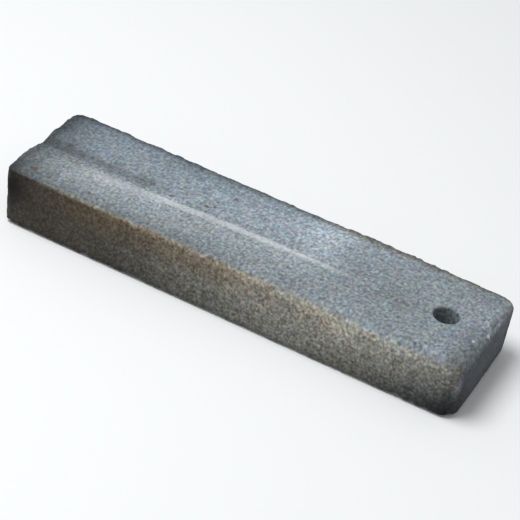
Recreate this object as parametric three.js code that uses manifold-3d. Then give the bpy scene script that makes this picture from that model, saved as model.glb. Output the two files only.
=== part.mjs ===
// A pocket sharpening whetstone: one moulded bar of abrasive grit, with a lanyard hole through one end.
//
// Frame: millimetres, +Z up. The origin is the centre of the footprint, on the underside.
// +X points to the end with the lanyard hole (the hole end), -X to the far end, -Y to the front.

import * as THREE from 'three';
import { mergeVertices } from 'three/addons/utils/BufferGeometryUtils.js';
import Module from 'manifold-3d';

const wasm = await Module();
wasm.setup();

// Overall size
const LENGTH = 100;
const WIDTH = 27;
const THICKNESS = 13;

// Lanyard hole, upright and a little to the front of the centre line
const HOLE_DIAMETER = 5;
const HOLE_FROM_END = 9.6;
const HOLE_OFF_CENTRE = -0.4;
const HOLE_FLARE = 0.3;
const HOLE_FLARE_DEPTH = 0.5;
const HOLE_SIDES = 36;
const CUTTER_OVERLAP = 1;

// Upright corners, as rounded in plan
const CORNER_FAR_FRONT = 1.8;
const CORNER_FAR_BACK = 3.0;
const CORNER_HOLE_FRONT = 3.6;
const CORNER_HOLE_BACK = 2.6;
const CORNER_BLEND_X = 20;
const CORNER_BLEND_Y = 5;

// Rounding of the edges round the top and round the underside
const TOP_EDGE_CRISP = 0.9;
const TOP_EDGE_SOFT_FRONT = 3.2;
const TOP_EDGE_SOFT_BACK = 2.1;
const SOFT_FRONT_FROM_X = -8;
const SOFT_FRONT_TO_X = 38;
const SOFT_BACK_FROM_X = 22;
const SOFT_BACK_TO_X = 50;
const EDGE_BLEND_Y = 8;
const BOTTOM_EDGE = 1.2;
const BOTTOM_EDGE_HOLE_END = 1.7;
const HOLE_END_BAND = 6;

// The far end is upright near its top, then leans in by this much to its foot
const FAR_END_LEAN = 0.7;
const FAR_END_LEAN_TOP = 11.4;

// The front strip of the top stands a little proud, as a crown between the front edge and the crest
const CROWN_HEIGHT = 0.2;
const CROWN_Y = -8;
const CROWN_REACH = 6;

// The crest curves in from the far end, then runs nearly straight towards the hole and dies away
const CREST_Y = -1.1;
const CREST_BEND = 3.85;
const CREST_BEND_X = 12;
const CREST_POWER = 1.5;
const CREST_END_X = 20;

// The ground behind the crest lies a step lower, between the far end and the end of the crest
const STEP_DEPTH = 0.14;
const STEP_WIDTH = 1.6;
const STEP_FROM_X = -44;
const STEP_FULL_X = -20;
const STEP_FADE_X = 10;
const STEP_CLIMB_FROM_Y = 4;
const STEP_CLIMB_TO_Y = 11;

// A groove worn into the far end, deepest at the very end, which runs out along the top
const GROOVE_DEPTH = 0.58;
const GROOVE_Y = 0.5;
const GROOVE_WIDTH = 1.7;
const GROOVE_END_X = -10;

// The back half is also worn low along the middle of its length
const BACK_DIP = 0.25;
const BACK_DIP_X = -6;
const BACK_DIP_REACH = 34;

// Rows of the surface grid, as distances in from each edge, and the even rows between them
const EDGE_ROWS = [0, 0.3, 0.65, 1.1, 1.8, 3];
const ROWS_ALONG = 26;
const ROWS_ACROSS = 14;
const ROWS_UP = 2;

// Every surface point is found by walking out from a core this far inside the block
const CORE_INSET = 5;
const SEARCH_REACH = 1.2;
const SEARCH_STEPS = 40;
const FLAT_TOLERANCE = 1e-4;
const WELD_TOLERANCE = 1e-5;

const { clamp, lerp, smoothstep } = THREE.MathUtils;

function cornerRadius(x, y) {
  const along = smoothstep(x, -CORNER_BLEND_X, CORNER_BLEND_X);
  const front = lerp(CORNER_FAR_FRONT, CORNER_HOLE_FRONT, along);
  const back = lerp(CORNER_FAR_BACK, CORNER_HOLE_BACK, along);
  return lerp(front, back, smoothstep(y, -CORNER_BLEND_Y, CORNER_BLEND_Y));
}

function topEdgeRadius(x, y) {
  const softFront = smoothstep(x, SOFT_FRONT_FROM_X, SOFT_FRONT_TO_X);
  const softBack = smoothstep(x, SOFT_BACK_FROM_X, SOFT_BACK_TO_X);
  const front = lerp(TOP_EDGE_CRISP, TOP_EDGE_SOFT_FRONT, softFront);
  const back = lerp(TOP_EDGE_CRISP, TOP_EDGE_SOFT_BACK, softBack);
  return lerp(front, back, smoothstep(y, -EDGE_BLEND_Y, EDGE_BLEND_Y));
}

function bottomEdgeRadius(x) {
  const atHoleEnd = smoothstep(x, LENGTH / 2 - HOLE_END_BAND, LENGTH / 2);
  return lerp(BOTTOM_EDGE, BOTTOM_EDGE_HOLE_END, atHoleEnd);
}

function crestY(x) {
  const bend = Math.max(CREST_BEND_X - x, 0) / (CREST_BEND_X + LENGTH / 2);
  return CREST_Y - CREST_BEND * bend ** CREST_POWER;
}

function groove(x, y) {
  const across = Math.exp(-(((y - GROOVE_Y) / GROOVE_WIDTH) ** 2));
  return GROOVE_DEPTH * across * smoothstep(GROOVE_END_X - x, 0, GROOVE_END_X + LENGTH / 2);
}

function stepDown(x, y) {
  const behind = smoothstep(y - crestY(x), 0, STEP_WIDTH);
  const climb = 1 - smoothstep(y, STEP_CLIMB_FROM_Y, STEP_CLIMB_TO_Y);
  const start = smoothstep(x, STEP_FROM_X, STEP_FULL_X);
  const end = 1 - smoothstep(x, STEP_FADE_X, CREST_END_X);
  return STEP_DEPTH * behind * climb * start * end;
}

function backDip(x, y) {
  const along = clamp((x - BACK_DIP_X) / BACK_DIP_REACH, -1, 1);
  return BACK_DIP * (1 - along * along) * smoothstep(y, 0, WIDTH / 2);
}

function topHeight(x, y) {
  const across = clamp((y - CROWN_Y) / CROWN_REACH, -1, 1);
  const crown = CROWN_HEIGHT * (1 - across * across) * (1 - smoothstep(x, 0, LENGTH / 2));
  return THICKNESS - CROWN_HEIGHT + crown - groove(x, y) - stepDown(x, y) - backDip(x, y);
}

// Signed distance to the stone's outline in plan, negative inside
function outlineDistance(x, y, z) {
  const lean = x < 0 ? FAR_END_LEAN * Math.max(1 - z / FAR_END_LEAN_TOP, 0) : 0;
  const radius = cornerRadius(x, y);
  const pastEnd = Math.abs(x) + lean - (LENGTH / 2 - radius);
  const pastSide = Math.abs(y) - (WIDTH / 2 - radius);
  const inside = Math.min(Math.max(pastEnd, pastSide), 0);
  return inside + Math.hypot(Math.max(pastEnd, 0), Math.max(pastSide, 0)) - radius;
}

// Distance to the edge where two faces meet, once it is rounded off
function roundedEdge(first, second, radius) {
  const reach = Math.hypot(Math.max(radius + first, 0), Math.max(radius + second, 0));
  return Math.min(-radius, Math.max(first, second)) + reach;
}

function stoneDistance(point) {
  const outline = outlineDistance(point.x, point.y, point.z);
  const above = point.z - topHeight(point.x, point.y);
  const top = roundedEdge(outline, above, topEdgeRadius(point.x, point.y));
  const bottom = roundedEdge(outline, -point.z, bottomEdgeRadius(point.x));
  return Math.max(top, bottom);
}

// Grid lines for one side of the block: close together at both edges, even in the middle
function gridLines(size, innerRows) {
  const lastRow = EDGE_ROWS[EDGE_ROWS.length - 1];
  const lines = EDGE_ROWS.map((row) => row - size / 2);
  for (let row = 1; row < innerRows; row += 1) {
    lines.push(lerp(lastRow - size / 2, size / 2 - lastRow, row / innerRows));
  }
  const mirrored = EDGE_ROWS.map((row) => size / 2 - row);
  return lines.concat(mirrored.reverse());
}

function lineAt(lines, coordinate, size) {
  const row = Math.round((coordinate / size + 0.5) * (lines.length - 1));
  return lines[row];
}

// The point where the way out from the core, through a point of the block, leaves the stone
function surfacePoint(blockPoint) {
  const core = new THREE.Vector3(
    clamp(blockPoint.x, CORE_INSET - LENGTH / 2, LENGTH / 2 - CORE_INSET),
    clamp(blockPoint.y, CORE_INSET - WIDTH / 2, WIDTH / 2 - CORE_INSET),
    clamp(blockPoint.z, CORE_INSET, THICKNESS - CORE_INSET),
  );
  const inner = core.clone();
  const outer = core.clone().lerp(blockPoint, SEARCH_REACH);
  const middle = new THREE.Vector3();
  for (let step = 0; step < SEARCH_STEPS; step += 1) {
    middle.addVectors(inner, outer).multiplyScalar(0.5);
    if (stoneDistance(middle) < 0) {
      inner.copy(middle);
    } else {
      outer.copy(middle);
    }
  }
  if (Math.abs(middle.z) < FLAT_TOLERANCE) {
    middle.z = 0;
  }
  return middle;
}

function shapedBlock() {
  const xLines = gridLines(LENGTH, ROWS_ALONG);
  const yLines = gridLines(WIDTH, ROWS_ACROSS);
  const zLines = gridLines(THICKNESS, ROWS_UP);
  const block = new THREE.BoxGeometry(
    LENGTH,
    WIDTH,
    THICKNESS,
    xLines.length - 1,
    yLines.length - 1,
    zLines.length - 1,
  );
  const position = block.getAttribute('position');
  const point = new THREE.Vector3();
  for (let index = 0; index < position.count; index += 1) {
    point.fromBufferAttribute(position, index);
    point.x = lineAt(xLines, point.x, LENGTH);
    point.y = lineAt(yLines, point.y, WIDTH);
    point.z = lineAt(zLines, point.z, THICKNESS) + THICKNESS / 2;
    const placed = surfacePoint(point);
    position.setXYZ(index, placed.x, placed.y, placed.z);
  }
  return block;
}

// The space of the lanyard hole: a straight bore whose two mouths open out slightly
function holeCutter() {
  const bore = HOLE_DIAMETER / 2;
  const middle = bore + HOLE_FLARE / 4;
  const mouth = bore + HOLE_FLARE;
  const top = THICKNESS - CROWN_HEIGHT;
  const profile = [
    new THREE.Vector2(0, -CUTTER_OVERLAP),
    new THREE.Vector2(mouth, -CUTTER_OVERLAP),
    new THREE.Vector2(mouth, 0),
    new THREE.Vector2(middle, HOLE_FLARE_DEPTH / 2),
    new THREE.Vector2(bore, HOLE_FLARE_DEPTH),
    new THREE.Vector2(bore, top - HOLE_FLARE_DEPTH),
    new THREE.Vector2(middle, top - HOLE_FLARE_DEPTH / 2),
    new THREE.Vector2(mouth, top),
    new THREE.Vector2(mouth, top + CUTTER_OVERLAP),
    new THREE.Vector2(0, top + CUTTER_OVERLAP),
  ];
  const cutter = new THREE.LatheGeometry(profile, HOLE_SIDES);
  cutter.rotateX(Math.PI / 2);
  cutter.translate(LENGTH / 2 - HOLE_FROM_END, HOLE_OFF_CENTRE, 0);
  return cutter;
}

function toSolid(geometry) {
  const bare = geometry.clone();
  bare.deleteAttribute('normal');
  bare.deleteAttribute('uv');
  const merged = mergeVertices(bare, WELD_TOLERANCE);
  return new wasm.Manifold(new wasm.Mesh({
    numProp: 3,
    vertProperties: new Float32Array(merged.getAttribute('position').array),
    triVerts: new Uint32Array(merged.index.array),
  }));
}

function toGeometry(solid) {
  const mesh = solid.getMesh();
  const geometry = new THREE.BufferGeometry();
  geometry.setAttribute('position', new THREE.BufferAttribute(mesh.vertProperties, 3));
  geometry.setIndex(new THREE.BufferAttribute(mesh.triVerts, 1));
  geometry.computeVertexNormals();
  return geometry;
}

function whetstoneBody() {
  const solid = toSolid(shapedBlock()).subtract(toSolid(holeCutter()));
  const grit = new THREE.MeshStandardMaterial({ color: 0x7b838b, roughness: 0.92, metalness: 0 });
  const body = new THREE.Mesh(toGeometry(solid), grit);
  body.name = 'whetstone_body';
  return body;
}

const whetstone = new THREE.Group();
whetstone.add(whetstoneBody());

export default whetstone;
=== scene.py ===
import math

import bmesh
import bpy
import mathutils
import numpy as np
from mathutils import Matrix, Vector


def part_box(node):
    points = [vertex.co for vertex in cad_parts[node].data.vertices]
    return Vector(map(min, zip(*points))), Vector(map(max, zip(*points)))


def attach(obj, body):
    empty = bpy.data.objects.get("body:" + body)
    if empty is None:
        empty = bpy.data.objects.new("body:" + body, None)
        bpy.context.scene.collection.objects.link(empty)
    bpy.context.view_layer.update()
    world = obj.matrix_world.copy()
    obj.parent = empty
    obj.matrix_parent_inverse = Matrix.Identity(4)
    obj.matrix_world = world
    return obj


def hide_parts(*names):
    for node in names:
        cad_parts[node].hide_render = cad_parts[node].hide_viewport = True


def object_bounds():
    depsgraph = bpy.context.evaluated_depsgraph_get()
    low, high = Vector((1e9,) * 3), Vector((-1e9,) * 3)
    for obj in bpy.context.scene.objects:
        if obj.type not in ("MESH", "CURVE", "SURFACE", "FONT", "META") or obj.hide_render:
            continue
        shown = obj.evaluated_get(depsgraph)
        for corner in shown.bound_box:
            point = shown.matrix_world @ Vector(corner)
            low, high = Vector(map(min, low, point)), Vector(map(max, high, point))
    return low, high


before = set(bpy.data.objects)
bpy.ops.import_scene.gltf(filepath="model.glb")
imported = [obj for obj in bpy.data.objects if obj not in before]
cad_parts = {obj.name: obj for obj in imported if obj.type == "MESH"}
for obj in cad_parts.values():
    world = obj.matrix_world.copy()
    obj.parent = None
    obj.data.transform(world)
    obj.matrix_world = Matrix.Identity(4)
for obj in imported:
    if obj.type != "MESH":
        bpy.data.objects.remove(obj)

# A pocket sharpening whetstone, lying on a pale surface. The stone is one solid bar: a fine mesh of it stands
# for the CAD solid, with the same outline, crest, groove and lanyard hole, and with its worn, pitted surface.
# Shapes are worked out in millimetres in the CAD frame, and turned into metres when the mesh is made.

CAD_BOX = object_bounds()
METRE = 0.001
LOW, HIGH = [np.array(corner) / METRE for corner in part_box("whetstone_body")]
LENGTH, WIDTH, THICKNESS = HIGH - LOW

# The lanyard hole
HOLE_RADIUS = 2.5
HOLE_X = HIGH[0] - 9.6
HOLE_Y = -0.4
HOLE_FLARE = 0.3
HOLE_FLARE_DEPTH = 0.5

# Upright corners, as rounded in plan
CORNER_FAR_FRONT = 1.8
CORNER_FAR_BACK = 3.0
CORNER_HOLE_FRONT = 3.6
CORNER_HOLE_BACK = 2.6
CORNER_BLEND_X = 20
CORNER_BLEND_Y = 5

# Edges round the top and the underside
TOP_EDGE_CRISP = 0.9
TOP_EDGE_SOFT_FRONT = 3.2
TOP_EDGE_SOFT_BACK = 2.1
BOTTOM_EDGE = 1.2
BOTTOM_EDGE_HOLE_END = 1.7
HOLE_END_BAND = 6
FAR_END_LEAN = 0.7
FAR_END_LEAN_TOP = 11.4
EDGE_BLEND_Y = 8
FRONT_SOFT_FROM_X = -8
FRONT_SOFT_TO_X = 38
BACK_SOFT_FROM_X = 22

# Wear on the top: a crowned front strip, a crest that curves in from the far end, a groove behind it there,
# a low step down behind its crisp part, and a dip along the back
CROWN_HEIGHT = 0.2
CROWN_Y = -8
CROWN_REACH = 6
CREST_Y = -1.1
CREST_BEND = 3.85
CREST_BEND_X = 12
CREST_POWER = 1.5
CREST_END_X = 20
RIDGE_HEIGHT = 0.05
RIDGE_WIDTH = 0.45
RIDGE_RISE_X = (-30, -10)
RIDGE_FALL = 6
STEP_DEPTH = 0.14
STEP_WIDTH = 1.6
STEP_RISE_X = (-44, -20)
STEP_FALL_X = 10
STEP_FALL_Y = (4, 11)
GROOVE_DEPTH = 0.58
GROOVE_Y = 0.5
GROOVE_WIDTH = 1.7
GROOVE_END_X = -10
BACK_DIP = 0.25
BACK_DIP_X = -6
BACK_DIP_REACH = 34

# The fine mesh
FINE_CELL = 0.26
CELL = 0.34
FINE_BAND = 4
CORE_INSET = 5
SEARCH_STEPS = 30
SEARCH_REACH = 1.2
RING_SPREAD = 1.1
HOLE_PATCH = 2.2
HOLE_WARP = 6

# Wear of the edges. Nicks lie on a noise grid turned well away from the edges, and are deepest in edges whose
# radius is small; upright edges have few. Tilts are parts of a unit normal.
NICK_TURN = mathutils.Euler((0.5, 0.7, 0.9))
EDGE_TILT = 0.25
UPRIGHT_TILT = 0.3
CRISP_RADIUS = 1.3
MIDDLE_HEIGHT = (5, 8)
NICK_DEPTH = 0.46
NICK_STAND = 0.14
NICKS_BELOW = 1.15
NICKS_ABOVE = 0.85
LEAST_ON_SOFT_EDGE = 0.4
LEAST_ON_UPRIGHT_EDGE = 0.3

# Stains and glints on the top, as x, y and radius
STAINS = [
    (-19.7, -0.3, 0.6),
    (-12.3, 1.1, 0.6),
    (-10.9, 1.8, 0.42),
    (-8.8, 7.1, 0.5),
    (-45.7, -10.4, 0.6),
    (-44.9, -10.3, 0.6),
]
GLINTS = [(49.2, -0.3, 0.42), (47.6, -4.4, 0.35)]

# The smooth form's normals, kept on the fine mesh so that materials know the faces from the edges
FORM_NORMAL = "form_normal"

# The floor, in metres
FLOOR_REACH = 6.0
FLOOR_GAP = 0.00005

# Grains stand out of the surface, so they look less foreshortened than flat marks would
GRAIN_STRETCH = (1.0, 0.86, 0.92)
GRAIN_SMOOTHNESS = 0.5

# Speckle is worked out on the eye's scale, and no grain is darker than this part of its ground
EYE_POWER = 2.2
DARKEST_GRAIN = 0.3


def smoothstep(value, low, high):
    share = np.clip((value - low) / (high - low), 0, 1)
    return share * share * (3 - 2 * share)


def lerp(first, second, share):
    return first + (second - first) * share


class Noise:
    """Smooth seeded noise from 0 to 1, with bumps of about the size asked for."""

    SIDE = 64

    def __init__(self, seed):
        self.values = np.random.default_rng(seed).random((self.SIDE,) * 3)

    def __call__(self, points, size):
        grid = points / size
        cell = np.floor(grid).astype(int)
        share = grid - cell
        share = share * share * (3 - 2 * share)
        total = 0
        for corner in np.ndindex(2, 2, 2):
            weight = np.prod(np.where(corner, share, 1 - share), axis=1)
            index = (cell + corner) % self.SIDE
            total = total + weight * self.values[index[:, 0], index[:, 1], index[:, 2]]
        return total


# ---------------------------------------------------------------- the stone's form


def corner_radius(x, y):
    along = smoothstep(x, -CORNER_BLEND_X, CORNER_BLEND_X)
    front = lerp(CORNER_FAR_FRONT, CORNER_HOLE_FRONT, along)
    back = lerp(CORNER_FAR_BACK, CORNER_HOLE_BACK, along)
    return lerp(front, back, smoothstep(y, -CORNER_BLEND_Y, CORNER_BLEND_Y))


def top_edge_radius(x, y):
    front_soft = smoothstep(x, FRONT_SOFT_FROM_X, FRONT_SOFT_TO_X)
    back_soft = smoothstep(x, BACK_SOFT_FROM_X, LENGTH / 2)
    front = lerp(TOP_EDGE_CRISP, TOP_EDGE_SOFT_FRONT, front_soft)
    back = lerp(TOP_EDGE_CRISP, TOP_EDGE_SOFT_BACK, back_soft)
    return lerp(front, back, smoothstep(y, -EDGE_BLEND_Y, EDGE_BLEND_Y))


def bottom_edge_radius(x):
    at_hole_end = smoothstep(x, LENGTH / 2 - HOLE_END_BAND, LENGTH / 2)
    return lerp(BOTTOM_EDGE, BOTTOM_EDGE_HOLE_END, at_hole_end)


def crest_y(x):
    bend = np.maximum(CREST_BEND_X - x, 0) / (CREST_BEND_X + LENGTH / 2)
    return CREST_Y - CREST_BEND * bend**CREST_POWER


def groove(x, y):
    across = np.exp(-(((y - GROOVE_Y) / GROOVE_WIDTH) ** 2))
    return GROOVE_DEPTH * across * smoothstep(GROOVE_END_X - x, 0, GROOVE_END_X + LENGTH / 2)


def step_down(x, y):
    """The ground behind the crest lies a little lower, until both end short of the hole."""
    behind = smoothstep(y - crest_y(x), 0, STEP_WIDTH) * (1 - smoothstep(y, *STEP_FALL_Y))
    along = smoothstep(x, *STEP_RISE_X) * (1 - smoothstep(x, STEP_FALL_X, CREST_END_X))
    return STEP_DEPTH * behind * along


def back_dip(x, y):
    along = np.clip((x - BACK_DIP_X) / BACK_DIP_REACH, -1, 1)
    return BACK_DIP * (1 - along * along) * smoothstep(y, 0, WIDTH / 2)


def top_height(x, y):
    across = np.clip((y - CROWN_Y) / CROWN_REACH, -1, 1)
    crown = CROWN_HEIGHT * (1 - across * across) * (1 - smoothstep(x, 0, LENGTH / 2))
    along = smoothstep(x, *RIDGE_RISE_X) * (1 - smoothstep(x, CREST_END_X - RIDGE_FALL, CREST_END_X))
    ridge = RIDGE_HEIGHT * np.exp(-(((y - crest_y(x)) / RIDGE_WIDTH) ** 2)) * along
    return THICKNESS - CROWN_HEIGHT + crown + ridge - groove(x, y) - step_down(x, y) - back_dip(x, y)


def outline_distance(x, y, z):
    """Signed distance to the outline in plan, negative inside."""
    lean = np.where(x < 0, FAR_END_LEAN * np.maximum(1 - z / FAR_END_LEAN_TOP, 0), 0)
    radius = corner_radius(x, y)
    past_end = np.abs(x) + lean - (LENGTH / 2 - radius)
    past_side = np.abs(y) - (WIDTH / 2 - radius)
    inside = np.minimum(np.maximum(past_end, past_side), 0)
    return inside + np.hypot(np.maximum(past_end, 0), np.maximum(past_side, 0)) - radius


def rounded_edge(first, second, radius):
    reach = np.hypot(np.maximum(radius + first, 0), np.maximum(radius + second, 0))
    return np.minimum(-radius, np.maximum(first, second)) + reach


def stone_distance(points):
    x, y, z = points.T
    outline = outline_distance(x, y, z)
    top = rounded_edge(outline, z - top_height(x, y), top_edge_radius(x, y))
    bottom = rounded_edge(outline, -z, bottom_edge_radius(x))
    return np.maximum(top, bottom)


# ---------------------------------------------------------------- the fine mesh


def grid_lines(low, high):
    """Lines across the block from low to high: closer together near both edges."""
    fine = round(FINE_BAND / FINE_CELL)
    coarse = round((high - low - 2 * FINE_BAND) / CELL)
    first = np.linspace(low, low + FINE_BAND, fine + 1)
    middle = np.linspace(low + FINE_BAND, high - FINE_BAND, coarse + 1)
    last = np.linspace(high - FINE_BAND, high, fine + 1)
    return np.concatenate([first, middle[1:-1], last])


def face_quads(counts, axis, side):
    """The quads of one face of the block, as whole-number grid points, four to a quad."""
    first, second = [a for a in range(3) if a != axis]
    rows, columns = np.meshgrid(np.arange(counts[first]), np.arange(counts[second]), indexing="ij")
    quads = np.zeros((rows.size, 4, 3), dtype=int)
    quads[:, :, axis] = counts[axis] if side else 0
    for corner, (step_first, step_second) in enumerate([(0, 0), (1, 0), (1, 1), (0, 1)]):
        quads[:, corner, first] = rows.ravel() + step_first
        quads[:, corner, second] = columns.ravel() + step_second
    return quads


def hole_patch(lines):
    """The first and last grid line, along and across, of the square that the hole takes out."""
    patch = []
    for axis, centre in ((0, HOLE_X), (1, HOLE_Y)):
        first = int(np.argmin(np.abs(lines[axis] - (centre - HOLE_PATCH))))
        last = int(np.argmin(np.abs(lines[axis] - (centre + HOLE_PATCH))))
        patch.append((first, last))
    return patch


def warp_round_hole(x, y, lines, patch):
    """Moves grid points near the hole from square rings to round ones."""
    (x_first, x_last), (y_first, y_last) = patch
    centre = np.array([lines[0][x_first] + lines[0][x_last], lines[1][y_first] + lines[1][y_last]]) / 2
    half = np.array([lines[0][x_last] - lines[0][x_first], lines[1][y_last] - lines[1][y_first]]) / 2
    across = (x - centre[0]) * HOLE_PATCH / half[0]
    up = (y - centre[1]) * HOLE_PATCH / half[1]
    ring = np.maximum(np.abs(across), np.abs(up))
    sideways = np.abs(across) >= np.abs(up)
    lean = np.where(sideways, up, across) / np.maximum(ring, 1e-9)
    turn = lean * math.pi / 4
    along = np.where(sideways, np.cos(turn) * np.sign(across), np.sin(turn))
    beside = np.where(sideways, np.sin(turn), np.cos(turn) * np.sign(up))
    mouth = HOLE_RADIUS + HOLE_FLARE
    radius = mouth + (ring - HOLE_PATCH) * RING_SPREAD
    share = smoothstep(HOLE_WARP - ring, 0, HOLE_WARP - HOLE_PATCH)
    return lerp(x, HOLE_X + radius * along, share), lerp(y, HOLE_Y + radius * beside, share)


def surface_points(block_points):
    """Where the way out from the core, through each point of the block, leaves the stone."""
    inset = np.minimum(CORE_INSET, (HIGH - LOW) / 2 - 1)
    core = np.clip(block_points, LOW + inset, HIGH - inset)
    inner = core.copy()
    outer = core + (block_points - core) * SEARCH_REACH
    for _ in range(SEARCH_STEPS):
        middle = (inner + outer) / 2
        inside = (stone_distance(middle) < 0)[:, None]
        inner = np.where(inside, middle, inner)
        outer = np.where(inside, outer, middle)
    return (inner + outer) / 2


def patch_loop(patch):
    """Grid points (along, across) round the edge of the hole's square, in order."""
    (x_first, x_last), (y_first, y_last) = patch
    loop = [(x, y_first) for x in range(x_first, x_last)]
    loop += [(x_last, y) for y in range(y_first, y_last)]
    loop += [(x, y_last) for x in range(x_last, x_first, -1)]
    loop += [(x_first, y) for y in range(y_last, y_first, -1)]
    return loop


def wall_profile(top):
    """(radius, height) down the hole's wall, from just below the upper mouth to just above the lower."""
    upper = []
    for turn in np.linspace(0, math.pi / 2, 4)[1:]:
        radius = HOLE_RADIUS + HOLE_FLARE * (1 - math.sin(turn))
        upper.append((radius, top - HOLE_FLARE_DEPTH * (1 - math.cos(turn))))
    lower = [(radius, top - height) for radius, height in reversed(upper)]
    straight = np.linspace(upper[-1][1], lower[0][1], round(THICKNESS / CELL))[1:-1]
    return upper + [(HOLE_RADIUS, height) for height in straight] + lower


def stone_surface():
    """Corner points in millimetres, and quads, of the smooth stone with its hole."""
    lines = [grid_lines(LOW[axis], HIGH[axis]) for axis in range(3)]
    counts = [len(line) - 1 for line in lines]
    patch = hole_patch(lines)
    (x_first, x_last), (y_first, y_last) = patch
    quads = []
    for axis in range(3):
        for side in (0, 1):
            face = face_quads(counts, axis, side)
            if axis == 2:
                corner = face[:, 0]
                in_x = (corner[:, 0] >= x_first) & (corner[:, 0] < x_last)
                in_y = (corner[:, 1] >= y_first) & (corner[:, 1] < y_last)
                face = face[~(in_x & in_y)]
            quads.append(face)
    quads = np.concatenate(quads)
    keys, faces = np.unique(quads.reshape(-1, 3), axis=0, return_inverse=True)
    faces = faces.reshape(-1, 4)
    block = np.stack([lines[axis][keys[:, axis]] for axis in range(3)], axis=1)
    flat = (keys[:, 2] == 0) | (keys[:, 2] == counts[2])
    block[flat, 0], block[flat, 1] = warp_round_hole(block[flat, 0], block[flat, 1], lines, patch)
    points = surface_points(block)

    number = {tuple(key): index for index, key in enumerate(keys)}
    loop = patch_loop(patch)
    upper = [number[(i, j, counts[2])] for i, j in loop]
    lower = [number[(i, j, 0)] for i, j in loop]
    turns = np.arctan2(points[upper, 1] - HOLE_Y, points[upper, 0] - HOLE_X)
    rings = [upper]
    wall_points = []
    for radius, height in wall_profile(points[upper, 2].mean()):
        start = len(points) + len(wall_points) * len(loop)
        heights = np.full(len(loop), height)
        ring = [HOLE_X + radius * np.cos(turns), HOLE_Y + radius * np.sin(turns), heights]
        wall_points.append(np.stack(ring, axis=1))
        rings.append(list(range(start, start + len(loop))))
    rings.append(lower)
    wall_faces = []
    for above, below in zip(rings, rings[1:]):
        for index in range(len(loop)):
            after = (index + 1) % len(loop)
            wall_faces.append((above[index], below[index], below[after], above[after]))
    points = np.concatenate([points] + wall_points)
    return points, faces.tolist() + wall_faces


def worn_relief(points, normals):
    """How far in the worn surface lies from the smooth one: swells, grit and pits, and nicks in the edges.

    Where nothing is nicked out of an edge, the edge may stand out a little, as if rounded less.
    """
    swell = Noise(11)(points, 7.0)
    lumps = Noise(12)(points, 1.9)
    grit = Noise(13)(points, 0.75)
    pits = Noise(14)(points, 1.2)
    wear = Noise(15)(points, 3.1)
    chips = Noise(16)(points, 1.3)
    turned = points @ np.array(NICK_TURN.to_matrix())
    nicks = Noise(17)(turned, 1.2) * 0.45 + Noise(18)(turned, 0.75) * 0.55
    edge = np.clip((1 - np.abs(normals).max(axis=1)) / EDGE_TILT, 0, 1)
    from_hole = np.hypot(points[:, 0] - HOLE_X, points[:, 1] - HOLE_Y)
    edge = edge * smoothstep(from_hole, HOLE_RADIUS + 1, HOLE_RADIUS + 2)
    relief = 0.05 * swell + 0.05 * lumps + 0.05 * grit
    relief += 0.12 * smoothstep(pits, 0.78, 0.93)
    relief += edge * (0.22 * smoothstep(wear, 0.45, 0.95) + 0.16 * smoothstep(chips, 0.62, 0.95))
    crisp_top = np.clip(CRISP_RADIUS / top_edge_radius(points[:, 0], points[:, 1]), LEAST_ON_SOFT_EDGE, 1)
    nicked = lerp(NICKS_BELOW, crisp_top * NICKS_ABOVE, smoothstep(points[:, 2], *MIDDLE_HEIGHT))
    nicked *= np.clip(np.abs(normals[:, 2]) / UPRIGHT_TILT, LEAST_ON_UPRIGHT_EDGE, 1)
    relief += edge * nicked * (NICK_DEPTH * smoothstep(nicks, 0.42, 0.74) - NICK_STAND)
    return relief


def build_stone():
    points, faces = stone_surface()
    mesh = bpy.data.meshes.new("whetstone")
    mesh.from_pydata((points * METRE).tolist(), [], faces)
    work = bmesh.new()
    work.from_mesh(mesh)
    bmesh.ops.recalc_face_normals(work, faces=work.faces)
    work.to_mesh(mesh)
    work.free()
    normals = np.zeros(len(points) * 3)
    mesh.vertices.foreach_get("normal", normals)
    form = mesh.attributes.new(FORM_NORMAL, "FLOAT_VECTOR", "POINT")
    form.data.foreach_set("vector", normals)
    normals = normals.reshape(-1, 3)
    worn = points - normals * worn_relief(points, normals)[:, None]
    mesh.vertices.foreach_set("co", (worn * METRE).ravel())
    mesh.shade_smooth()
    mesh.update()
    stone = bpy.data.objects.new("whetstone", mesh)
    bpy.context.collection.objects.link(stone)
    return stone


# ---------------------------------------------------------------- materials


class Value:
    """A number in a node tree. Sums and products of values make Math nodes."""

    def __init__(self, tree, socket):
        self.tree = tree
        self.socket = socket

    def math(self, operation, *others):
        node = self.tree.nodes.new("ShaderNodeMath")
        node.operation = operation
        for slot, value in zip(node.inputs, (self, *others)):
            if isinstance(value, Value):
                self.tree.links.new(value.socket, slot)
            else:
                slot.default_value = value
        return Value(self.tree, node.outputs[0])

    def __add__(self, other):
        return self.math("ADD", other)

    def __sub__(self, other):
        return self.math("SUBTRACT", other)

    def __mul__(self, other):
        return self.math("MULTIPLY", other)

    def __neg__(self):
        return self * -1.0

    def step(self, low, high, first=0.0, last=1.0):
        """first below low, last above high, and a smooth change between."""
        node = self.tree.nodes.new("ShaderNodeMapRange")
        node.interpolation_type = "SMOOTHSTEP"
        self.tree.links.new(self.socket, node.inputs["Value"])
        node.inputs["From Min"].default_value = low
        node.inputs["From Max"].default_value = high
        node.inputs["To Min"].default_value = first
        node.inputs["To Max"].default_value = last
        return Value(self.tree, node.outputs["Result"])

    def toned(self, factor):
        """1 where this is 0, and factor where it is 1."""
        return self * (factor - 1.0) + 1.0

    def power(self, exponent):
        return self.math("POWER", exponent)

    def bell(self, width):
        """1 where this is 0, falling away over about width on either side."""
        scaled = self * (1 / width)
        return (-(scaled * scaled)).math("EXPONENT")


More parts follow.
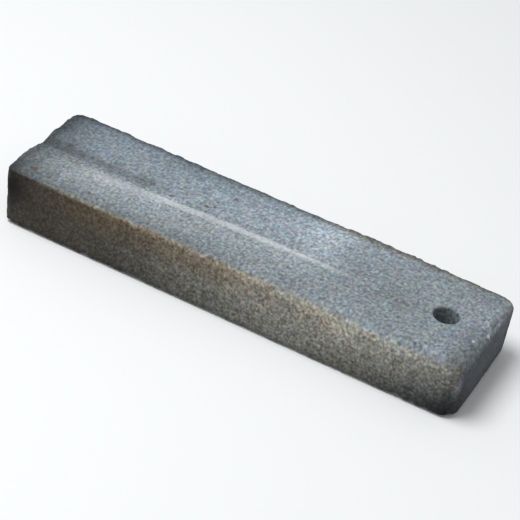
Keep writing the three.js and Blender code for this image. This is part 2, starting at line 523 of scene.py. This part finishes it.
class Surface:
    """A Principled material under construction, with places in millimetres."""

    def __init__(self, name):
        self.material = bpy.data.materials.new(name)
        self.material.use_nodes = True
        self.tree = self.material.node_tree
        self.shader = self.tree.nodes["Principled BSDF"]
        place = self.tree.nodes.new("ShaderNodeTexCoord")
        scale = self.tree.nodes.new("ShaderNodeVectorMath")
        scale.operation = "SCALE"
        scale.inputs["Scale"].default_value = 1 / METRE
        self.tree.links.new(place.outputs["Object"], scale.inputs[0])
        self.place = scale.outputs[0]
        self.x, self.y, self.z = self.split(self.place)
        stretch = self.tree.nodes.new("ShaderNodeVectorMath")
        stretch.operation = "MULTIPLY"
        stretch.inputs[1].default_value = GRAIN_STRETCH
        self.tree.links.new(self.place, stretch.inputs[0])
        self.grain_place = stretch.outputs[0]
        form = self.tree.nodes.new("ShaderNodeAttribute")
        form.attribute_name = FORM_NORMAL
        self.normal = self.split(form.outputs["Vector"])

    def split(self, vector):
        node = self.tree.nodes.new("ShaderNodeSeparateXYZ")
        self.tree.links.new(vector, node.inputs[0])
        return [Value(self.tree, output) for output in node.outputs]

    def noise(self, size, detail=2.0, roughness=0.5, offset=0.0, place=None):
        """Soft noise, 0 to 1, with patches of about size millimetres."""
        node = self.tree.nodes.new("ShaderNodeTexNoise")
        node.noise_dimensions = "4D"
        self.tree.links.new(place or self.place, node.inputs["Vector"])
        node.inputs["W"].default_value = offset
        node.inputs["Scale"].default_value = 1 / size
        node.inputs["Detail"].default_value = detail
        node.inputs["Roughness"].default_value = roughness
        return Value(self.tree, node.outputs[0])

    def grains(self, size):
        """The brightness, 0 to 1, of soft-edged grains of about size millimetres."""
        node = self.tree.nodes.new("ShaderNodeTexVoronoi")
        node.feature = "SMOOTH_F1"
        node.inputs["Smoothness"].default_value = GRAIN_SMOOTHNESS
        self.tree.links.new(self.grain_place, node.inputs["Vector"])
        node.inputs["Scale"].default_value = 1 / size
        return self.split(node.outputs["Color"])[0]

    def spots(self, places, ragged):
        """1 on small spots at (x, y, radius) on the top or an edge of it, made ragged by some noise."""
        total = None
        for x, y, radius in places:
            away = ((self.x - x) * (self.x - x) + (self.y - y) * (self.y - y)).power(0.5)
            spot = (away + (ragged - 0.5) * radius).step(radius * 0.5, radius * 1.2, 1.0, 0.0)
            total = spot if total is None else total + spot
        return total

    def specks(self, spacing, radius, share, offset):
        """1 on small scattered spots, one in each cell of about spacing, in that share of the cells."""
        move = self.tree.nodes.new("ShaderNodeVectorMath")
        move.operation = "ADD"
        move.inputs[1].default_value = (offset, offset * 1.7, offset * 0.6)
        self.tree.links.new(self.place, move.inputs[0])
        node = self.tree.nodes.new("ShaderNodeTexVoronoi")
        self.tree.links.new(move.outputs[0], node.inputs["Vector"])
        node.inputs["Scale"].default_value = 1 / spacing
        chosen = self.split(node.outputs["Color"])[1].step(1 - share, 1 - share + 0.02)
        distance = Value(self.tree, node.outputs["Distance"]) * spacing
        return distance.step(radius * 0.6, radius * 1.3, 1.0, 0.0) * chosen

    def mix(self, first, second, share):
        """A colour: first where share is 0, second where it is 1."""
        node = self.tree.nodes.new("ShaderNodeMix")
        node.data_type = "RGBA"
        for slot, colour in ((node.inputs[6], first), (node.inputs[7], second)):
            if isinstance(colour, bpy.types.NodeSocket):
                self.tree.links.new(colour, slot)
            else:
                slot.default_value = (*colour, 1.0)
        self.tree.links.new(share.socket, node.inputs["Factor"])
        return node.outputs[2]

    def brighten(self, colour, value):
        """colour, each channel times value."""
        node = self.tree.nodes.new("ShaderNodeVectorMath")
        node.operation = "SCALE"
        self.tree.links.new(colour, node.inputs[0])
        self.tree.links.new(value.socket, node.inputs["Scale"])
        return node.outputs[0]

    def speckle(self, colour, value):
        """colour lightened or darkened by value, half in its own hue and half as grey, evenly to the eye."""
        factor = (value + 1.0).math("MAXIMUM", DARKEST_GRAIN).power(EYE_POWER)
        grey = self.tree.nodes.new("ShaderNodeRGBToBW")
        self.tree.links.new(colour, grey.inputs[0])
        added = Value(self.tree, grey.outputs[0]) * (factor - 1.0) * 0.5
        node = self.tree.nodes.new("ShaderNodeVectorMath")
        node.operation = "ADD"
        self.tree.links.new(self.brighten(colour, factor * 0.5 + 0.5), node.inputs[0])
        self.tree.links.new(added.socket, node.inputs[1])
        return node.outputs[0]

    def tint(self, colour, other):
        """colour times other, channel by channel."""
        node = self.tree.nodes.new("ShaderNodeVectorMath")
        node.operation = "MULTIPLY"
        self.tree.links.new(colour, node.inputs[0])
        self.tree.links.new(other, node.inputs[1])
        return node.outputs[0]

    def bump(self, height, distance, strength):
        node = self.tree.nodes.new("ShaderNodeBump")
        node.inputs["Strength"].default_value = strength
        node.inputs["Distance"].default_value = distance * METRE
        self.tree.links.new(height.socket, node.inputs["Height"])
        return node.outputs["Normal"]


def top_colour(s, patches, blotches, behind_crest):
    """Blue-grey: pale where it is worn, with painted highlights in a broad band along the far part of the
    crest and in a patch towards the back just past the middle; darker at the far end and along the front
    edge, soiled along the back and behind the crest.
    """
    wander = patches - 0.5
    worn = (s.x + wander * 3.0).step(-24, 4) * (s.x + wander * 6.0).step(12, 20, 1.0, 0.0)
    # Painted highlight: a broad pale band along the crest towards the far end
    painted_highlight_band = (s.y + 4.5).bell(3.0) * (s.x + 31).bell(15)
    # Painted highlight: a pale patch towards the back, just past the middle
    paler_area = (s.x - 11.0).bell(5.0) * (s.y - 6.5).bell(5.5)
    far_darkening = (s.x + wander * 6.0).step(-53, -34, 1.0, 0.0)
    far_rim = s.x.step(-50, -46, 1.0, 0.0)
    silted = (s.y - 0.4 + wander).bell(2.0) * s.x.step(-26, -18, 1.0, 0.0)
    back_soil = (s.y + wander * 2.0).step(6.0, 14.0) * ((s.x + 18).bell(26) * 0.5 + 0.25)
    back_rim = (s.y + wander).step(10.8, 12.8)
    front_edge_darkening = (s.y + wander * 2.0).step(-13.5, -8.0, 1.0, 0.0) * s.x.step(-12, 10, 1.0, 0.0)
    hole_end = (s.x - 27).bell(9) * (s.y + 2.0).bell(7)
    before_hole = (s.x - 31.0).bell(3.5) * (s.y + 2.0).bell(3.0)
    corner = s.x.step(42, 50) * s.y.step(-6, 3, 1.0, 0.0)
    back_corner = (s.x - 45).bell(3.0) * s.y.step(4.0, 10.0)
    far_corners = (s.x + 49.8).bell(3.2) * (s.y.step(-12, -7, 1.0, 0.0) + s.y.step(2, 6))
    fork = (s.x + 20).bell(2.6) * (s.y + 1.8).bell(2.2)
    # Painted highlight: the same pale patch reaching the back edge
    painted_highlight_back = (s.x - 16).bell(9) * (s.y - 10).bell(2.5)
    front_middle_darkening = (s.x - 13).bell(4.0) * (s.y + 11).bell(2.0)

    lightness = blotches * 0.24 + 0.79
    lightness = lightness * (worn * behind_crest.step(-7.5, -2.5)).toned(1.22)
    lightness = lightness * painted_highlight_band.toned(1.3) * paler_area.toned(1.25)
    lightness = lightness * far_darkening.toned(0.42) * far_rim.toned(0.68) * silted.toned(0.64)
    lightness = lightness * back_soil.toned(0.62) * back_rim.toned(0.45) * front_edge_darkening.toned(0.66)
    lightness = lightness * hole_end.toned(0.9) * corner.toned(0.54) * before_hole.toned(0.8)
    lightness = lightness * back_corner.toned(0.84) * far_corners.toned(0.58) * fork.toned(1.45)
    lightness = lightness * painted_highlight_back.toned(1.2) * front_middle_darkening.toned(0.82)
    colour = s.mix((0.265, 0.30, 0.318), (0.258, 0.302, 0.33), patches)
    cast = s.mix((0.975, 0.94, 0.925), (0.925, 0.945, 0.99), s.y.step(-6, 8))
    colour = s.tint(colour, s.mix(cast, (0.98, 0.965, 0.965), s.x.step(-12, 28)))
    brown_rim = s.y.step(10.5, 12.5) * s.x.step(5, 18)
    colour = s.tint(colour, s.mix((1.0, 1.0, 1.0), (1.12, 1.0, 0.84), brown_rim))
    return s.brighten(colour, lightness)


def side_colour(s, patches, blotches):
    """Beige-grey towards the hole, brown and dark towards the far end, with a rusty upper band between;
    painted shade darkens it low down, along the bottom and low on the corner by the hole.
    """
    wander = patches - 0.5
    paler_area = (s.x + wander * 14.0).step(-35, 17)
    rust = (s.z + wander * 3.0).step(5.5, 10.5) * (s.x + wander * 8.0).step(-4, 26, 1.0, 0.0)
    rust = rust * s.x.step(-43, -24)
    # Painted shade: darker low down on the sides, most towards the hole end, and darker along the bottom
    low_shade_share = s.x.step(-35, -15, 0.15, 0.36) + s.x.step(15, 48, 0.0, 0.50)
    low = (s.z + wander * 2.0).step(0.5, 10.5, 1.0, 0.0) * low_shade_share
    painted_base_shade = s.z.step(0.3, 2.2, 1.0, 0.0)
    far_corner = s.x.step(-47, -40, 1.0, 0.0) * s.z.step(2, 8)
    far_edge = (s.x + 48.6).bell(3.2) * (s.z - 9).bell(3.5) * s.y.step(-12.5, -9.0, 1.0, 0.0)
    far_pale = (s.x + 33).bell(4.0) * (s.z - 4).bell(3.0)
    hole_end = s.x.step(34, 47)
    upper = s.z.step(9.0, 12.0) * s.x.step(-8, 4)
    pale_left = (s.x - 3).bell(4.5) * (s.z - 9).bell(2.6)
    pale_right = (s.x - 25).bell(3.0) * (s.z - 9).bell(2.0)
    pale_brow = (s.x + 12).bell(6.0) * (s.z - 10.3).bell(2.4)
    brow = s.z.step(10.8, 12.6) * s.x.step(-34, -22) * s.x.step(4, 14, 1.0, 0.0)
    dark_band = (s.x + 20).bell(5.5) * (s.z - 9).bell(1.8)
    dark_low = (s.x + 2.5).bell(4.0) * (s.z - 4).bell(1.8)
    # Painted shade: darker low on the corner by the hole end
    painted_corner_shade = s.x.step(43, 48) * s.z.step(3, 12, 1.0, 0.0)

    lightness = (blotches * 0.3 + 0.85) * low.toned(0.0) * painted_base_shade.toned(0.6) * far_corner.toned(0.6)
    lightness = lightness * hole_end.toned(0.74) * upper.toned(1.3) * brow.toned(1.5)
    lightness = lightness * far_edge.toned(0.05) * far_pale.toned(1.3) * pale_left.toned(1.3)
    lightness = lightness * pale_right.toned(1.4) * painted_corner_shade.toned(0.42) * dark_band.toned(0.84)
    lightness = lightness * dark_low.toned(0.8)
    colour = s.mix((0.052, 0.0452, 0.0345), (0.256, 0.252, 0.220), paler_area)
    colour = s.mix(colour, (0.123, 0.087, 0.0505), rust * 0.58)
    far_upper = s.x.step(-40, -30, 1.0, 0.0) * s.z.step(6, 9)
    colour = s.tint(colour, s.mix((1.0, 1.0, 1.0), (1.06, 0.985, 0.93), far_upper))
    warm = (s.x - 20).bell(8) * s.z.step(6, 9)
    colour = s.tint(colour, s.mix((1.0, 1.0, 1.0), (1.045, 0.995, 0.94), warm))
    cool = s.x.step(30, 47) * s.z.step(2, 9, 1.0, 0.0)
    colour = s.tint(colour, s.mix((1.0, 1.0, 1.0), (0.88, 1.0, 1.10), cool))
    return s.brighten(colour, lightness * pale_brow.toned(1.22))


def end_colour(s, patches):
    """Dark slate, with painted shade that makes it darker still towards the bottom and the front corner, and
    a painted highlight in a band under its top edge.
    """
    colour = s.mix((0.100, 0.110, 0.122), (0.086, 0.094, 0.105), patches)
    # Painted shade: darker towards the bottom and the low front corner. Painted highlight: a pale band under
    # the top edge, behind the front corner
    painted_front_low_shade = s.y.step(-13, -2, 1.0, 0.0) * s.z.step(3, 12, 1.0, 0.0)
    middle = (s.z - 8.8).bell(2.0) * s.y.step(2, 8, 1.0, 0.0)
    painted_top_band_highlight = s.z.step(10.4, 11.8) * s.y.step(-13, -4)
    back_edge = (s.y - 11.5).bell(1.6) * (s.z - 7).bell(3.0)
    lightness = s.z.step(1, 11, 0.7, 1.0) * painted_front_low_shade.toned(0.38) * middle.toned(0.7) * painted_top_band_highlight.toned(1.8)
    lightness = lightness * back_edge.toned(0.3)
    return s.brighten(colour, lightness)


def crest_wear_and_highlight(s, behind_crest, blotches, ragged):
    """How far the crest is worn pale and painted as a highlight: broad and faint at the far end, then a crisp
    band that thins out.
    """
    place = behind_crest + (ragged - 0.5) * 0.35
    far = place.step(0.4, 1.2, 1.0, 0.0) * place.step(-3.5, -0.4)
    far = far * s.x.step(-40, -30) * s.x.step(-24, -19, 1.0, 0.0)
    thin = s.x.step(-8, 20, 0.0, 0.66)
    crisp = (place + thin).step(0.35, 0.95, 1.0, 0.0) * (place - thin * 0.8).step(-1.9, -0.5)
    crisp = crisp * s.x.step(-26, -18) * s.x.step(15, 27, 1.0, 0.0) * (s.x - 7).bell(7).toned(1.35)
    return far * (blotches * 0.3 + 0.1) + crisp * (blotches * 0.5 + 0.25)


def grit_material():
    """Vitrified grit: a worn blue-grey top with painted highlights, soiled sides with painted shade low down,
    a slate end with painted shade and a painted highlight, a crest worn pale and painted as a highlight, an
    ochre front edge.
    """
    s = Surface("abrasive_grit")
    normal_x, normal_y, normal_z = s.normal
    patches = s.noise(5.0, 2.0, 0.5, 3.0)
    blotches = s.noise(2.2, 2.0, 0.6, 5.0)
    ragged = s.noise(0.9, 2.0, 0.6, 7.0)
    wander = patches - 0.5

    bend = ((-s.x + CREST_BEND_X) * (1 / (CREST_BEND_X + LENGTH / 2))).math("MAXIMUM", 0.0)
    behind_crest = s.y + bend.power(CREST_POWER) * CREST_BEND - CREST_Y
    facing_up = (normal_z + wander * 0.4 + (ragged - 0.5) * 0.3).step(0.38, 0.9)
    facing_end = normal_x.step(0.45, 0.88)
    top = top_colour(s, patches, blotches, behind_crest)
    side = s.mix(side_colour(s, patches, blotches), end_colour(s, patches), facing_end)
    colour = s.mix(side, top, facing_up)
    underside = s.mix((0.150, 0.152, 0.144), (0.205, 0.208, 0.200), patches)
    colour = s.mix(colour, underside, (-normal_z).step(0.5, 0.9))

    # The front edge is ochre along its crisp half. The corner by the hole is dull, with a painted highlight
    # lower down on its upright edge
    edge = normal_z.step(0.1, 0.5) * normal_z.step(0.85, 1.0, 1.0, 0.0) * (-normal_y).step(0.05, 0.3)
    ochre = edge * s.x.step(-44, -32) * (s.x + wander * 8).step(0, 24, 1.0, 0.0) * (ragged * 0.7 + 0.4)
    colour = s.mix(colour, (0.263, 0.243, 0.177), ochre * 0.6)
    dull = (s.x - 47.6).bell(1.8) * (s.y + 11.8).bell(1.8) * (s.z - 11.0).bell(2.0)
    colour = s.mix(colour, (0.115, 0.108, 0.095), dull * 0.7)
    # Painted highlight: a pale streak low on the upright corner by the hole
    painted_corner_highlight = (s.x - 49.0).bell(0.7) * (s.y + 12.3).bell(0.8) * (s.z - 7.4).bell(2.0)
    colour = s.mix(colour, (0.30, 0.31, 0.32), painted_corner_highlight * (ragged * 0.8 + 0.1))

    # The hole's wall
    across = s.x - HOLE_X
    beside = s.y - HOLE_Y
    from_axis = (across * across + beside * beside).power(0.5)
    in_hole = from_axis.step(HOLE_RADIUS + 0.1, HOLE_RADIUS + 0.5, 1.0, 0.0)
    colour = s.mix(colour, (0.195, 0.228, 0.240), in_hole)

    # Grit: light and dark grains, with more contrast on the sides, and patches of warmer and greener hue
    grain = s.grains(0.55)
    fine = s.noise(0.62, 0.0, 0.5, 0.0, s.grain_place)
    finer = s.noise(0.48, 0.0, 0.5, 21.0, s.grain_place)
    speckle = (fine - 0.5) * 0.52 + (finer - 0.5) * 0.52 + (grain - 0.5) * 0.12
    contrast = facing_up.toned(0.75) * facing_end.toned(0.6) * s.x.step(-48, -10, 1.1, 1.25)
    colour = s.speckle(colour, speckle * contrast)
    hue = s.noise(1.1, 1.0, 0.5, 9.0).step(0.3, 0.7)
    colour = s.tint(colour, s.mix((1.05, 1.0, 0.94), (0.95, 1.0, 1.06), hue))
    green = s.noise(1.3, 1.0, 0.5, 33.0).step(0.3, 0.7)
    colour = s.tint(colour, s.mix((1.025, 0.97, 1.02), (0.975, 1.03, 0.98), green))

    # The crest, worn pale and with a painted highlight, and a thin painted shadow close behind it
    # Painted highlight along the crest, on top of its wear
    crest = crest_wear_and_highlight(s, behind_crest, blotches, ragged) * facing_up * (grain * 0.5 + 0.75)
    colour = s.mix(colour, (0.60, 0.61, 0.615), crest.math("MINIMUM", 1.0))
    shade = (behind_crest - 1.6).bell(0.6) * s.x.step(-26, -20) * s.x.step(8, 16, 1.0, 0.0)
    colour = s.brighten(colour, shade.toned(0.88))

    # Brown stains, scattered brown specks, and a few pale glints
    stains = (s.spots(STAINS, ragged) + s.specks(3.2, 0.22, 0.1, 47.0)) * s.z.step(10.5, 12.2)
    colour = s.mix(colour, (0.100, 0.066, 0.040), stains.math("MINIMUM", 1.0) * 0.75)
    glints = s.spots(GLINTS, ragged) * s.z.step(10.5, 12.2)
    colour = s.mix(colour, (0.7, 0.72, 0.74), glints.math("MINIMUM", 1.0) * 0.6)

    s.tree.links.new(colour, s.shader.inputs["Base Color"])
    roughness = fine * 0.15 + 0.78
    s.tree.links.new(roughness.socket, s.shader.inputs["Roughness"])
    s.shader.inputs["Specular IOR Level"].default_value = 0.3
    s.tree.links.new(s.bump(finer, 0.03, 0.25), s.shader.inputs["Normal"])
    return s.material


def floor_material():
    s = Surface("pale_floor")
    tone = s.noise(90.0, 1.0, 0.5)
    colour = s.mix((0.86, 0.86, 0.86), (0.88, 0.88, 0.88), tone)
    s.tree.links.new(colour, s.shader.inputs["Base Color"])
    s.shader.inputs["Roughness"].default_value = 0.9
    return s.material


# ---------------------------------------------------------------- the studio


def add_camera():
    """A long lens from the front right, above, rolled as a hand-held shot."""
    data = bpy.data.cameras.new("camera")
    data.sensor_width = 36
    data.lens = 133.28
    data.clip_start = 0.01
    data.clip_end = 50
    camera = bpy.data.objects.new("camera", data)
    right = mathutils.Vector((0.87581, 0.45783, 0.15280))
    forward = mathutils.Vector((-0.29072, 0.75310, -0.59019)).normalized()
    up = right.cross(forward).normalized()
    right = forward.cross(up)
    turn = mathutils.Matrix((right, up, -forward)).transposed().to_4x4()
    place = mathutils.Vector((0.110787, -0.283740, 0.228896))
    camera.matrix_world = mathutils.Matrix.Translation(place) @ turn
    bpy.context.collection.objects.link(camera)
    bpy.context.scene.camera = camera


def add_light(name, place, aim, size, power, colour):
    data = bpy.data.lights.new(name, "AREA")
    data.shape = "DISK"
    data.size = size
    data.energy = power
    data.color = colour
    light = bpy.data.objects.new(name, data)
    way = mathutils.Vector(aim) - mathutils.Vector(place)
    turn = way.to_track_quat("-Z", "Y").to_matrix().to_4x4()
    light.matrix_world = mathutils.Matrix.Translation(place) @ turn
    bpy.context.collection.objects.link(light)


def add_studio():
    world = bpy.data.worlds.new("studio")
    bpy.context.scene.world = world
    world.use_nodes = True
    backdrop = world.node_tree.nodes["Background"]
    backdrop.inputs["Color"].default_value = (0.95, 0.97, 1.0, 1.0)
    backdrop.inputs["Strength"].default_value = 0.45
    add_light("top_light", (-0.16, -0.10, 0.50), (0, 0, 0.01), 0.3, 2.2, (0.97, 0.99, 1.0))
    bpy.context.scene.view_settings.view_transform = "Standard"


def add_floor():
    mesh = bpy.data.meshes.new("floor")
    height = CAD_BOX[0][2] - FLOOR_GAP
    corners = [(-1, -1), (1, -1), (1, 1), (-1, 1)]
    points = [(x * FLOOR_REACH, y * FLOOR_REACH, height) for x, y in corners]
    mesh.from_pydata(points, [], [(0, 1, 2, 3)])
    floor = bpy.data.objects.new("floor", mesh)
    floor.data.materials.append(floor_material())
    bpy.context.collection.objects.link(floor)


add_camera()
add_studio()
add_floor()
stone = build_stone()
stone.data.materials.append(grit_material())
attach(stone, "root")
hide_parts("whetstone_body")

bpy.context.view_layer.update()
